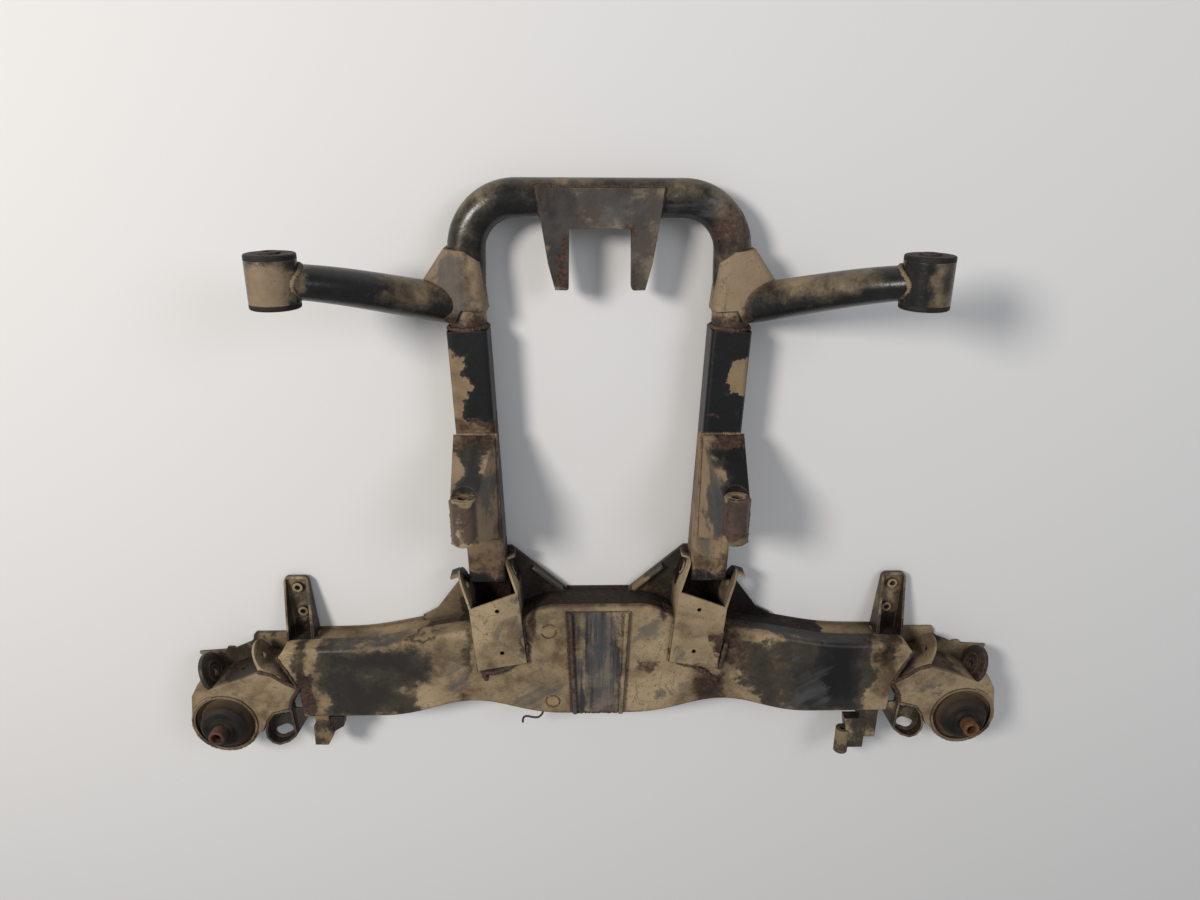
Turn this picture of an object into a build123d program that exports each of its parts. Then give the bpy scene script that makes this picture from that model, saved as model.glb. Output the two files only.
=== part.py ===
from build123d import *
import os
from math import atan2, cos, degrees, hypot, radians, sin

os.makedirs("parts", exist_ok=True)

# A welded rear axle beam that lies on its underside. A boxed cross beam runs along X with a large
# rubber bush at each end. Two rails run along +Y from the beam to a bent loop tube, and two arms
# rise from the loop to a rubber bush each. Heights are measured from the face of the beam, which
# looks up, and lengths along Y from the line through the two main bushes.

# Driving dimensions in millimetres
bush_spacing = 1110.0
low_y = -75.0
bush_x = bush_spacing / 2
gap = 0.2

beam_depth = 66.0
beam_sheet = 3.0
beam_half = 437.0
beam_fold = 6.0
beam_lap = 32.0
centre_lap = 12.0
groove_half = 95.0
centre_top = 191.0
centre_flat = 58.0
shoulder_x, shoulder_top = 112.0, 173.0
wing_x, wing_top = 235.0, 146.0
dip_x, dip_top = 345.0, 126.0
end_top = 121.0
centre_bottom = 8.0
belly_x = 48.0
arch_x, arch_bottom = 186.0, 32.0
foot_x, foot_bottom = 322.0, 7.0
lap_x, lap_y = 466.0, 111.0
tip_x, tip_y = 441.0, 57.0

cup_radius = 47.0
cup_wall = 3.0
cup_rise = 2.0
pin_radius = 11.5
pin_bore = 7.25
pin_top = 37.5
pin_foot = 2.0
rubber_disc_radius = 32.0
rubber_disc_top = 16.0

rail_size = 52.4
rail_wall = 2.0
tube_fit = 0.2
tube_radius = rail_size / 2 - rail_wall - tube_fit
rail_corner = 7.0
rail_x_foot, rail_y_foot = 153.5, 150.0
rail_x_head, rail_y_head = 170.0, 590.0
rail_height = -33.0
notch_y, notch_floor = 231.0, -50.0

tube_wall = 2.5
tube_insert = 34.0
loop_x = 166.5
loop_y = 753.0
loop_bend = 64.0
rail_bend = 320.0

arm_root_radius = 26.0
arm_tip_radius = 19.0
arm_tip_spread = 24.0
arm_wall = 2.5
sleeve_x, sleeve_height = 364.0, 112.0
sleeve_foot, sleeve_head = 649.0, 697.0
sleeve_radius = 28.0
sleeve_wall = 4.0
sleeve_lip = 6.0
sleeve_pin_radius = 12.0
sleeve_pin_bore = 6.25
sleeve_pin_proud = 2.0

pivot_height = 3.0 - beam_depth / 2
pivot_in_x, pivot_in_y = 191.8, 214.2
inner_pivot_height = pivot_height + 3.0
pivot_out_x, pivot_out_y = 573.0, 70.0
inner_ear_x, inner_ear_y = 500.0, 95.5
pivot_bolt = 12.5
pivot_access = 25.0
ear_radius = 25.0
outer_ear_radius = beam_depth / 2 - 2.5
ear_sheet = 4.0

# Working values that follow from the driving dimensions
top_y = loop_y + tube_radius
bush_line = -(top_y + low_y) / 2
rim_height = beam_depth + pin_foot


def level(height):
    """Plane that looks up, at a height above the face of the beam."""
    return Plane(origin=(0, bush_line, rim_height + height))


def point(x, y, height):
    """Place of a point given from the bush line and the face of the beam."""
    return (x, bush_line + y, rim_height + height)


def station(x):
    """Upright plane across the beam: its x runs along Y and its y is the height."""
    return Plane(origin=point(x, 0, 0), x_dir=(0, 1, 0), z_dir=(1, 0, 0))


def across(y):
    """Upright plane along the beam: its x runs along X and its y is the height."""
    return Plane(origin=point(0, y, 0), x_dir=(1, 0, 0), z_dir=(0, -1, 0))


def write(piece, name):
    """Label a finished piece and write it."""
    piece.label = name
    export_step(piece, f"parts/{name}.step")


def write_pair(piece, name):
    """Write a right-hand piece and its mirror image on the left."""
    write(piece, f"right_{name}")
    write(mirror(piece, about=Plane.YZ), f"left_{name}")


def beam_outline(inset, reach):
    """Outline of the beam seen on its face, drawn in at the walls and drawn out at the open ends."""
    top_end = (lap_x - 8.0 + reach, end_top - inset)
    with BuildSketch() as outline:
        with BuildLine():
            Line((0, centre_top - inset), (centre_flat, centre_top - inset))
            Spline(
                (centre_flat, centre_top - inset),
                (shoulder_x, shoulder_top - inset),
                (wing_x, wing_top - inset),
                (dip_x, dip_top - inset),
                top_end,
                tangents=[(1, 0), (1, -0.12)],
            )
            Polyline(
                top_end,
                (lap_x + reach, lap_y),
                (tip_x + reach, tip_y),
                (beam_half + reach, foot_bottom + inset),
                (foot_x, foot_bottom + inset),
            )
            Spline(
                (foot_x, foot_bottom + inset),
                (arch_x, arch_bottom + inset),
                (belly_x, centre_bottom + inset),
                tangents=[(-1, 0), (-1, 0), (-1, 0)],
            )
            Line((belly_x, centre_bottom + inset), (0, centre_bottom + inset))
            Line((0, centre_bottom + inset), (0, centre_top - inset))
        make_face()
        mirror(about=Plane.YZ)
    return outline.sketch


# In the middle of the beam the upper rim of the front shell is cut short, which leaves a wide groove
with BuildPart() as centre_groove:
    with BuildSketch(level(-beam_lap)):
        with Locations((0, centre_top)):
            Rectangle(2 * groove_half, 60.0)
    extrude(amount=beam_lap - centre_lap)

# Front shell of the beam: a tray whose floor is the face and whose rims turn down
with BuildPart() as front_shell:
    with BuildSketch(level(-beam_lap)):
        add(beam_outline(0, 0))
    extrude(amount=beam_lap)
    face_rim = front_shell.faces().sort_by(Axis.Z)[-1].edges()
    fillet(face_rim.filter_by(lambda edge: abs(edge.center().X) < foot_x + 80.0), beam_fold)
    with BuildSketch(level(-beam_lap)):
        add(beam_outline(beam_sheet, beam_sheet))
    extrude(amount=beam_lap - beam_sheet, mode=Mode.SUBTRACT)
    add(centre_groove.part, mode=Mode.SUBTRACT)
write(front_shell.part, "beam_front_shell")

# Back shell: the deeper tray that slips inside the rims of the front one
back_inset = beam_sheet + gap
with BuildPart() as back_shell:
    with BuildSketch(level(-beam_depth)):
        add(beam_outline(0, 0))
    extrude(amount=beam_sheet)
    with BuildSketch(level(-beam_depth + beam_sheet)):
        add(beam_outline(back_inset, 0))
    extrude(amount=beam_depth - 2 * beam_sheet - beam_fold)
    with BuildSketch(level(-beam_depth + beam_sheet)):
        add(beam_outline(back_inset + beam_sheet, beam_sheet))
    extrude(amount=beam_depth, mode=Mode.SUBTRACT)
write(back_shell.part, "beam_back_shell")

# Solid of the whole beam, with the groove between its shells, to cut what stands on it
with BuildPart() as beam_room:
    with BuildSketch(level(-beam_lap)):
        add(beam_outline(0, 0))
    extrude(amount=beam_lap)
    add(centre_groove.part, mode=Mode.SUBTRACT)
    with BuildSketch(level(-beam_depth)):
        add(beam_outline(0, 0))
    extrude(amount=beam_sheet)
    with BuildSketch(level(-beam_depth + beam_sheet)):
        add(beam_outline(back_inset, 0))
    extrude(amount=beam_depth - 2 * beam_sheet)

# Centre plate: a shallow pan with raised edges that covers the middle of the face
pan_top_half, pan_foot_half = 44.0, 37.0
pan_rib = 6.0
pan_rib_height = 5.0
pan_head = centre_top - beam_fold
pan_foot = centre_bottom + beam_fold
with BuildPart() as centre_plate:
    with BuildSketch(level(0)):
        Polygon(
            (-pan_foot_half, pan_foot),
            (pan_foot_half, pan_foot),
            (pan_top_half, pan_head),
            (-pan_top_half, pan_head),
            align=None,
        )
    extrude(amount=beam_sheet)
    for side in (-1, 1):
        with BuildSketch(level(beam_sheet)):
            Polygon(
                (side * pan_foot_half, pan_foot),
                (side * (pan_foot_half - pan_rib), pan_foot),
                (side * (pan_top_half - pan_rib), pan_head),
                (side * pan_top_half, pan_head),
                align=None,
            )
        extrude(amount=pan_rib_height)
    rib_tops = centre_plate.faces().group_by(Axis.Z)[-1].edges()
    fillet(rib_tops.filter_by(lambda edge: edge.length > 100), pan_rib / 3)
write(centre_plate.part, "beam_centre_plate")

# Rails: square tubes that lean in a little towards the beam and stand on its top wall, where a
# notch in their upper side makes room for the end of a link
rail_run = hypot(rail_x_head - rail_x_foot, rail_y_head - rail_y_foot)
rail_lean = atan2(rail_x_head - rail_x_foot, rail_y_head - rail_y_foot)
rail_foot = Plane(
    origin=point(rail_x_foot, rail_y_foot, rail_height),
    x_dir=(cos(rail_lean), -sin(rail_lean), 0),
    z_dir=(sin(rail_lean), cos(rail_lean), 0),
)
with BuildPart() as side_rail:
    with BuildSketch(rail_foot):
        RectangleRounded(rail_size, rail_size, rail_corner)
        RectangleRounded(rail_size - 2 * rail_wall, rail_size - 2 * rail_wall, rail_corner - rail_wall, mode=Mode.SUBTRACT)
    extrude(amount=rail_run)
    add(beam_room.part, mode=Mode.SUBTRACT)
    with BuildSketch(station(rail_x_foot - rail_size)):
        Polygon((100.0, 0.0), (notch_y, 0.0), (notch_y, rail_height), (notch_y - 14.0, notch_floor), (100.0, notch_floor), align=None)
    extrude(amount=2 * rail_size, mode=Mode.SUBTRACT)
write_pair(side_rail.part, "side_rail")

# The room that a rail takes, for what is welded beside it
with BuildPart() as rail_room:
    with BuildSketch(rail_foot):
        Rectangle(rail_size, rail_size)
    extrude(amount=rail_run)

# Loop tube: one bent tube whose two ends sit inside the heads of the rails
entry_x = rail_x_head - tube_insert * sin(rail_lean)
entry_y = rail_y_head - tube_insert * cos(rail_lean)
knee_x = rail_x_head + 12.0 * sin(rail_lean)
knee_y = rail_y_head + 12.0 * cos(rail_lean)
with BuildPart() as loop_tube:
    with BuildLine(level(rail_height)) as loop_path:
        FilletPolyline(
            (entry_x, entry_y),
            (knee_x, knee_y),
            (loop_x, loop_y),
            (-loop_x, loop_y),
            (-knee_x, knee_y),
            (-entry_x, entry_y),
            radius=[rail_bend, loop_bend, loop_bend, rail_bend],
        )
    with BuildSketch(Plane(origin=point(entry_x, entry_y, rail_height), z_dir=rail_foot.z_dir)):
        Circle(tube_radius)
        Circle(tube_radius - tube_wall, mode=Mode.SUBTRACT)
    sweep()
write(loop_tube.part, "loop_tube")

# The room that the loop tube takes, for what is welded round it
with BuildPart() as loop_room:
    with BuildLine(level(rail_height)):
        FilletPolyline(
            (entry_x, entry_y),
            (knee_x, knee_y),
            (loop_x, loop_y),
            (-loop_x, loop_y),
            (-knee_x, knee_y),
            (-entry_x, entry_y),
            radius=[rail_bend, loop_bend, loop_bend, rail_bend],
        )
    with BuildSketch(Plane(origin=point(entry_x, entry_y, rail_height), z_dir=rail_foot.z_dir)):
        Circle(tube_radius + gap)
    sweep()

# Arms: tubes that rise from the loop and flatten towards the bush at their tip
arm_path_points = [
    (188.0, 621.0, -36.0),
    (214.0, 629.0, -14.0),
    (253.0, 642.0, 20.0),
    (295.0, 657.0, 60.0),
    (331.0, 669.0, 93.0),
    (sleeve_x, (sleeve_foot + sleeve_head) / 2, sleeve_height),
]
arm_spine = Spline(*[point(*place) for place in arm_path_points])
arm_shares = (0.0, 0.3, 0.65, 1.0)


def arm_body(wall):
    """Tapered tube of the arm, drawn in by a wall."""
    with BuildPart() as body:
        for share in arm_shares:
            tangent = arm_spine % share
            with BuildSketch(Plane(origin=arm_spine @ share, x_dir=(-tangent.Y, tangent.X, 0), z_dir=tangent)):
                across_arm = arm_root_radius + (arm_tip_radius - arm_root_radius) * share
                upright_arm = arm_root_radius + (arm_tip_spread - arm_root_radius) * share
                Ellipse(across_arm - wall, upright_arm - wall)
        loft()
    return body.part


sleeve_middle = (sleeve_foot + sleeve_head) / 2
sleeve_length = sleeve_head - sleeve_foot
sleeve_plane = Plane(
    origin=point(sleeve_x, sleeve_middle, sleeve_height), x_dir=(1, 0, 0), z_dir=(0, 1, 0)
)
arm_solid = arm_body(0)
with BuildPart() as arm_tube:
    add(arm_solid)
    add(arm_body(arm_wall), mode=Mode.SUBTRACT)
    with BuildSketch(sleeve_plane):
        Circle(sleeve_radius + gap)
    extrude(amount=sleeve_length, both=True, mode=Mode.SUBTRACT)
    add(loop_room.part, mode=Mode.SUBTRACT)
write_pair(arm_tube.part, "arm_tube")

# Sleeve at the tip of each arm, with its rubber bush and the steel pin inside
with BuildPart() as arm_sleeve:
    with BuildSketch(sleeve_plane):
        Circle(sleeve_radius)
        Circle(sleeve_radius - sleeve_wall, mode=Mode.SUBTRACT)
    extrude(amount=sleeve_length / 2, both=True)
write_pair(arm_sleeve.part, "arm_sleeve")

rubber_half = sleeve_length / 2 + sleeve_lip
with BuildPart() as arm_rubber:
    with BuildSketch(sleeve_plane):
        Circle(sleeve_radius - sleeve_wall)
    extrude(amount=sleeve_length / 2, both=True)
    for side in (-1, 1):
        with BuildSketch(sleeve_plane.offset(side * sleeve_length / 2)):
            Circle(sleeve_radius)
        extrude(amount=side * sleeve_lip)
    outer_rims = arm_rubber.edges().filter_by(GeomType.CIRCLE).sort_by(Axis.Y)
    fillet([outer_rims[0], outer_rims[-1]], sleeve_lip / 3)
    with BuildSketch(sleeve_plane):
        Circle(sleeve_pin_radius)
    extrude(amount=rubber_half, both=True, mode=Mode.SUBTRACT)
write_pair(arm_rubber.part, "arm_bush_rubber")

with BuildPart() as arm_pin:
    with BuildSketch(sleeve_plane):
        Circle(sleeve_pin_radius)
        Circle(sleeve_pin_bore, mode=Mode.SUBTRACT)
    extrude(amount=rubber_half + sleeve_pin_proud, both=True)
write_pair(arm_pin.part, "arm_bush_inner_sleeve")

# Collar: the pressed saddle that wraps the loop tube and carries the root of the arm
collar_foot = rail_y_head + 25.0
collar_inner = loop_x - tube_radius + 1.5
collar_outer = loop_x + tube_radius + beam_sheet
collar_half_depth = tube_radius + beam_sheet
with BuildPart() as collar:
    with BuildSketch(level(rail_height - collar_half_depth)):
        with BuildLine():
            Polyline(
                (collar_inner, collar_foot),
                (collar_inner + 6.0, collar_foot + 61.0),
                (loop_x + 1.5, collar_foot + 75.0),
                (loop_x + 28.5, collar_foot + 78.0),
                (loop_x + 57.5, collar_foot + 37.0),
                (loop_x + 58.5, collar_foot + 9.0),
                (collar_outer + 4.0, collar_foot - 13.0),
                (collar_outer - 10.0, collar_foot - 13.0),
                (collar_outer - 18.0, collar_foot + 2.0),
                close=True,
            )
        make_face()
    extrude(amount=2 * collar_half_depth)
    inner_edges = collar.edges().filter_by(Axis.Z, reverse=True).filter_by(lambda edge: edge.center().X < loop_x - 16.5)
    fillet(inner_edges, 14.0)
    outer_edges = collar.edges().filter_by(Axis.Z, reverse=True).filter_by(lambda edge: edge.center().X > loop_x + 37.5)
    fillet(outer_edges, 9.0)
    add(loop_room.part, mode=Mode.SUBTRACT)
    add(arm_solid, mode=Mode.SUBTRACT)
    with BuildSketch(rail_foot.offset(rail_run)):
        Rectangle(rail_size * 2, rail_size * 2)
    extrude(amount=-tube_insert, mode=Mode.SUBTRACT)
write_pair(collar.part, "arm_collar")

# Main bush: steel cup, rubber and hollow pin, all turned about an upright axis
bush_plane = Plane(origin=point(bush_x, 0, 0), x_dir=(1, 0, 0), z_dir=(0, -1, 0))
bush_axis = Axis(point(bush_x, 0, 0), (0, 0, 1))
cup_inner = cup_radius - cup_wall
with BuildPart() as cup:
    with BuildSketch(level(-beam_depth)):
        with Locations((bush_x, 0)):
            Circle(cup_radius)
            Circle(cup_inner, mode=Mode.SUBTRACT)
    extrude(amount=beam_depth + cup_rise)
write_pair(cup.part, "main_bush_cup")

with BuildPart() as main_rubber:
    with BuildSketch(bush_plane):
        with BuildLine():
            Polyline(
                (pin_radius, -beam_depth + 4.0),
                (cup_inner, -beam_depth + 4.0),
                (cup_inner, -4.0),
                (cup_inner - 5.0, -8.0),
                (rubber_disc_radius + 4.0, -6.0),
                (rubber_disc_radius + 1.0, rubber_disc_top - 5.0),
                (rubber_disc_radius - 4.0, rubber_disc_top),
                (19.0, rubber_disc_top),
                (16.0, rubber_disc_top + 5.0),
                (pin_radius, rubber_disc_top + 5.0),
                close=True,
            )
        make_face()
    revolve(axis=bush_axis)
write_pair(main_rubber.part, "main_bush_rubber")

with BuildPart() as main_pin:
    with BuildSketch(level(-beam_depth - pin_foot)):
        with Locations((bush_x, 0)):
            Circle(pin_radius)
            Circle(pin_bore, mode=Mode.SUBTRACT)
    extrude(amount=beam_depth + pin_foot + pin_top)
    chamfer(main_pin.faces().sort_by(Axis.Z)[-1].edges(), 0.8)
write_pair(main_pin.part, "main_bush_pin")

# Pivot line of the lower link: it runs down and out past two ears beside each rail and two at the bush
pivot_run = hypot(pivot_out_x - pivot_in_x, pivot_out_y - pivot_in_y)
pivot_dir = ((pivot_out_x - pivot_in_x) / pivot_run, (pivot_out_y - pivot_in_y) / pivot_run)
ear_dir = (-pivot_dir[1], pivot_dir[0])


def pivot_plane(x, y, height=pivot_height):
    """Plane square to the pivot line: its x runs up the ear and its y is the height from the line."""
    return Plane(
        origin=point(x, y, height),
        x_dir=(ear_dir[0], ear_dir[1], 0),
        z_dir=(pivot_dir[0], pivot_dir[1], 0),
    )


with BuildPart() as inner_pivot_hole:
    with BuildSketch(pivot_plane(pivot_in_x, pivot_in_y, inner_pivot_height)):
        Circle(pivot_bolt / 2)
    extrude(amount=beam_depth * 2, both=True)
with BuildPart() as outer_pivot_hole:
    with BuildSketch(pivot_plane(pivot_out_x, pivot_out_y)):
        Circle(pivot_bolt / 2)
    extrude(amount=beam_depth * 2, both=True)

# Inner pivot bracket: one folded sheet whose web stands off the face and whose two ears reach
# back over the top wall of the beam, one on each side of the rail
bracket_gap = 5.0
bracket_sheet = 3.2
bracket_lean = radians(4.9)
inner_foot_x, inner_foot_y = rail_x_foot - rail_size / 2 - 23.3, 105.0
outer_foot_x, outer_foot_y = rail_x_foot + rail_size / 2 - 4.7, 92.0
bracket_back = -56.0
bracket_top = bracket_gap + bracket_sheet


def lean_plane(x, y):
    """Plane of a side of the bracket: its x runs along the side and its y is the height."""
    return Plane(
        origin=point(x, y, 0),
        x_dir=(sin(bracket_lean), cos(bracket_lean), 0),
        z_dir=(cos(bracket_lean), -sin(bracket_lean), 0),
    )


def along_side(x, y, run):
    """Place reached by going along a side of the bracket."""
    return (x + run * sin(bracket_lean), y + run * cos(bracket_lean))


inner_run = 116.0
outer_run = 102.0
ear_rise = 24.0
lip_reach = 12.0
sides = (
    (inner_foot_x, inner_foot_y, inner_run, 1),
    (outer_foot_x, outer_foot_y, outer_run, -1),
)
with BuildPart() as pivot_bracket:
    with BuildSketch(level(bracket_gap)):
        Polygon(
            (inner_foot_x, inner_foot_y),
            (outer_foot_x, outer_foot_y),
            along_side(outer_foot_x, outer_foot_y, outer_run),
            along_side(inner_foot_x, inner_foot_y, inner_run),
            align=None,
        )
    extrude(amount=bracket_sheet)
    with BuildSketch(level(0)):
        Polygon(
            (inner_foot_x, inner_foot_y),
            (outer_foot_x, outer_foot_y),
            (outer_foot_x, outer_foot_y + bracket_sheet),
            (inner_foot_x, inner_foot_y + bracket_sheet),
            align=None,
        )
    extrude(amount=bracket_top)
    for foot_at_x, foot_at_y, run, inward in sides:
        with BuildSketch(lean_plane(foot_at_x, foot_at_y)):
            with Locations((run / 2, (bracket_top + bracket_back) / 2)):
                Rectangle(run, bracket_top - bracket_back)
        extrude(amount=inward * bracket_sheet)
        corner_x, corner_y = along_side(foot_at_x, foot_at_y, run)
        ear_plane = pivot_plane(corner_x, corner_y, inner_pivot_height)
        with BuildSketch(ear_plane):
            with Locations((0, (bracket_top + bracket_back) / 2 - inner_pivot_height)):
                Rectangle(2.0, bracket_top - bracket_back)
            with Locations((ear_rise, 0)):
                Circle(ear_radius)
            make_hull()
        extrude(amount=inward * bracket_sheet)
        with BuildSketch(ear_plane):
            with Locations((ear_rise + ear_radius - 4.0, 0)):
                Rectangle(bracket_sheet, ear_radius)
        extrude(amount=-inward * lip_reach)
        with BuildSketch(ear_plane):
            with Locations((ear_rise, 0)):
                Circle(pivot_bolt / 2 + 5.0)
        extrude(amount=-inward * 2.0)
    add(beam_room.part, mode=Mode.SUBTRACT)
    add(rail_room.part, mode=Mode.SUBTRACT)
    add(inner_pivot_hole.part, mode=Mode.SUBTRACT)
    with BuildSketch(level(bracket_gap)):
        with Locations((144.0, 191.0), (139.0, 122.0)):
            Circle(3.2)
    extrude(amount=bracket_sheet, mode=Mode.SUBTRACT)
write_pair(pivot_bracket.part, "inner_pivot_bracket")

# Outer ear of the outer pivot: a round dished plate with a raised ring about its hole and a thick rim
housing_sheet = 3.0
housing_ring = cup_radius + housing_sheet
with BuildPart() as outer_ear:
    with BuildSketch(pivot_plane(pivot_out_x, pivot_out_y)):
        Circle(outer_ear_radius)
    extrude(amount=ear_sheet)
    with BuildSketch(pivot_plane(pivot_out_x, pivot_out_y).offset(ear_sheet)):
        Circle(outer_ear_radius)
        Circle(outer_ear_radius - ear_sheet, mode=Mode.SUBTRACT)
    extrude(amount=2.0)
    fillet(outer_ear.edges().filter_by(GeomType.CIRCLE).sort_by(Axis.X)[0], 1.5)
    with BuildSketch(pivot_plane(pivot_out_x, pivot_out_y)):
        Circle(pivot_bolt / 2 + 11.0)
        Circle(pivot_bolt / 2 + 8.0, mode=Mode.SUBTRACT)
        Circle(pivot_bolt / 2 + 3.0)
    extrude(amount=-2.5)
    add(outer_pivot_hole.part, mode=Mode.SUBTRACT)
    with BuildSketch(level(-beam_depth)):
        with Locations((bush_x, 0)):
            Circle(housing_ring)
    extrude(amount=2 * beam_depth, mode=Mode.SUBTRACT)
write_pair(outer_ear.part, "outer_pivot_outer_ear")

# End housing: a pressed pan round the main bush, folded down at its upper edge into a wall
housing_points = [
    (tip_x + 1.5, tip_y - 0.5),
    (463.0, 67.5),
    (479.0, 81.0),
    (496.0, 85.0),
    (569.0, 59.0),
    (573.0, 57.5),
    (578.5, 72.0),
    (588.0, 66.0),
    (599.0, 46.0),
    (604.5, 8.0),
    (555.0, -30.0),
    (502.0, -18.0),
    (494.0, 2.0),
    (484.0, 16.0),
    (456.0, 24.0),
    (453.0, 39.0),
]
with BuildSketch() as housing_shape:
    Polygon(*housing_points, align=None)
    with Locations((bush_x, 0)):
        Circle(housing_ring)
with BuildPart() as housing:
    with BuildSketch(level(-beam_depth + housing_sheet)):
        add(housing_shape.sketch)
    extrude(amount=beam_depth - housing_sheet)
    fillet(housing.faces().sort_by(Axis.Z)[-1].edges(), 2.0)
    with BuildSketch(level(-beam_depth + housing_sheet)):
        offset(housing_shape.sketch, amount=-housing_sheet)
    extrude(amount=beam_depth - 2 * housing_sheet, mode=Mode.SUBTRACT)
    with BuildSketch(level(-beam_depth)):
        with Locations((bush_x, 0)):
            Circle(cup_radius)
    extrude(amount=2 * beam_depth, mode=Mode.SUBTRACT)
    with BuildSketch(Plane(origin=point(531.0, 72.6, -33.0), z_dir=(-pivot_dir[1], pivot_dir[0], 0))):
        Circle(3.5)
    extrude(amount=8.0, both=True, mode=Mode.SUBTRACT)
    add(beam_room.part, mode=Mode.SUBTRACT)
    add(outer_ear.part, mode=Mode.SUBTRACT)
    with BuildSketch(pivot_plane(pivot_out_x, pivot_out_y)):
        Circle(pivot_access / 2)
    extrude(amount=40.0, mode=Mode.SUBTRACT)
write_pair(housing.part, "end_housing")

# Back plate of the housing: its rim shows above the ears as a flat top, a step and a thin lip
with BuildPart() as back_plate:
    with BuildSketch(level(-beam_depth)):
        Polygon(
            (437.0, 24.0),
            (437.0, 110.0),
            (468.0, 117.0),
            (516.5, 117.0),
            (521.0, 112.0),
            (523.0, 102.5),
            (527.0, 99.5),
            (552.0, 88.5),
            (556.0, 91.0),
            (563.0, 91.0),
            (566.0, 86.0),
            (607.0, 83.0),
            (606.0, 78.0),
            (590.0, 75.0),
            (602.0, 46.0),
            (604.5, 8.0),
            (555.0, -30.0),
            (502.0, -18.0),
            (484.0, 16.0),
            align=None,
        )
        with Locations((bush_x, 0)):
            Circle(housing_ring)
            Circle(cup_radius, mode=Mode.SUBTRACT)
    extrude(amount=housing_sheet)
    add(beam_room.part, mode=Mode.SUBTRACT)
write_pair(back_plate.part, "end_housing_back")

# Inner ear of the outer pivot: a plate that sweeps round and lies along the wall of the housing
ear_low = -beam_depth + housing_sheet


def along_ear(run, shift):
    """Place on the inner ear, by the run up the ear and the shift off its outer side."""
    return (
        inner_ear_x + ear_dir[0] * run - pivot_dir[0] * shift,
        inner_ear_y + ear_dir[1] * run - pivot_dir[1] * shift,
    )


with BuildSketch(level(ear_low)) as housing_room:
    Polygon(*housing_points, align=None)
with BuildPart() as inner_ear:
    with BuildSketch(level(ear_low)):
        with BuildLine():
            Spline(
                along_ear(ear_radius + 1.0, ear_sheet),
                along_ear(6.0, ear_sheet),
                (489.0, 90.0),
                (475.0, 84.5),
                (459.0, 71.0),
                (tip_x - 2.0, tip_y + 2.0),
            )
            Polyline(
                (tip_x - 2.0, tip_y + 2.0),
                (tip_x + 1.0, tip_y - 1.0),
                (463.0, 67.0),
                (479.0, 80.0),
                (495.0, 84.0),
                along_ear(-8.0, 0),
                along_ear(ear_radius + 1.0, 0),
                along_ear(ear_radius + 1.0, ear_sheet),
            )
        make_face()
    extrude(amount=-ear_low - 1.0)
    with BuildSketch(pivot_plane(inner_ear_x, inner_ear_y)):
        with Locations((-ear_radius - 12.0, 0.5 * (ear_low - 1.0) - pivot_height)):
            Rectangle(ear_radius * 1.6, -ear_low - 1.0)
        Circle(ear_radius)
        make_hull()
    extrude(amount=beam_depth * 1.4, both=True, mode=Mode.INTERSECT)
    with BuildSketch(pivot_plane(inner_ear_x, inner_ear_y)):
        Circle(pivot_bolt / 2 + 5.0)
    extrude(amount=-ear_sheet / 2 - 2.5)
    add(outer_pivot_hole.part, mode=Mode.SUBTRACT)
    extrude(housing_room.sketch, amount=beam_depth, mode=Mode.SUBTRACT)
    add(beam_room.part, mode=Mode.SUBTRACT)
write_pair(inner_ear.part, "outer_pivot_inner_ear")

# Loop bracket under the beam end: a shallow tray with a rounded end, a large hole and a slot
tray_floor = -14.0
tray_sheet = 3.0
with BuildSketch() as tray_shape:
    Polygon(
        (455.0, 24.0),
        (484.0, 16.0),
        (494.0, 2.0),
        (499.0, -16.0),
        (498.0, -28.0),
        (491.0, -38.0),
        (480.0, -42.0),
        (466.0, -37.0),
        (452.0, -25.0),
        align=None,
    )
with BuildPart() as loop_bracket:
    with BuildSketch(level(tray_floor - tray_sheet)):
        add(tray_shape.sketch)
    extrude(amount=tray_sheet - tray_floor)
    fillet(loop_bracket.edges().filter_by(Axis.Z).filter_by(lambda edge: edge.center().Y < bush_line - 20), 7.0)
    with BuildSketch(level(tray_floor)):
        offset(tray_shape.sketch, amount=-tray_sheet)
    extrude(amount=beam_depth, mode=Mode.SUBTRACT)
    with BuildSketch(level(tray_floor - tray_sheet)):
        with Locations(Location((475.0, -24.0), -24.0)):
            SlotOverall(27.0, 17.0)
        with Locations(Location((468.0, 9.0), -20.0)):
            SlotOverall(16.0, 7.0)
    extrude(amount=tray_sheet, mode=Mode.SUBTRACT)
    with BuildSketch(level(-8.0)):
        Polygon((437.5, 20.0), (435.0, 4.0), (453.0, -26.0), (456.0, 22.0), align=None)
    extrude(amount=tray_sheet)
    extrude(housing_room.sketch, amount=beam_depth, mode=Mode.SUBTRACT)
    add(beam_room.part, mode=Mode.SUBTRACT)
write_pair(loop_bracket.part, "loop_bracket")

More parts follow.
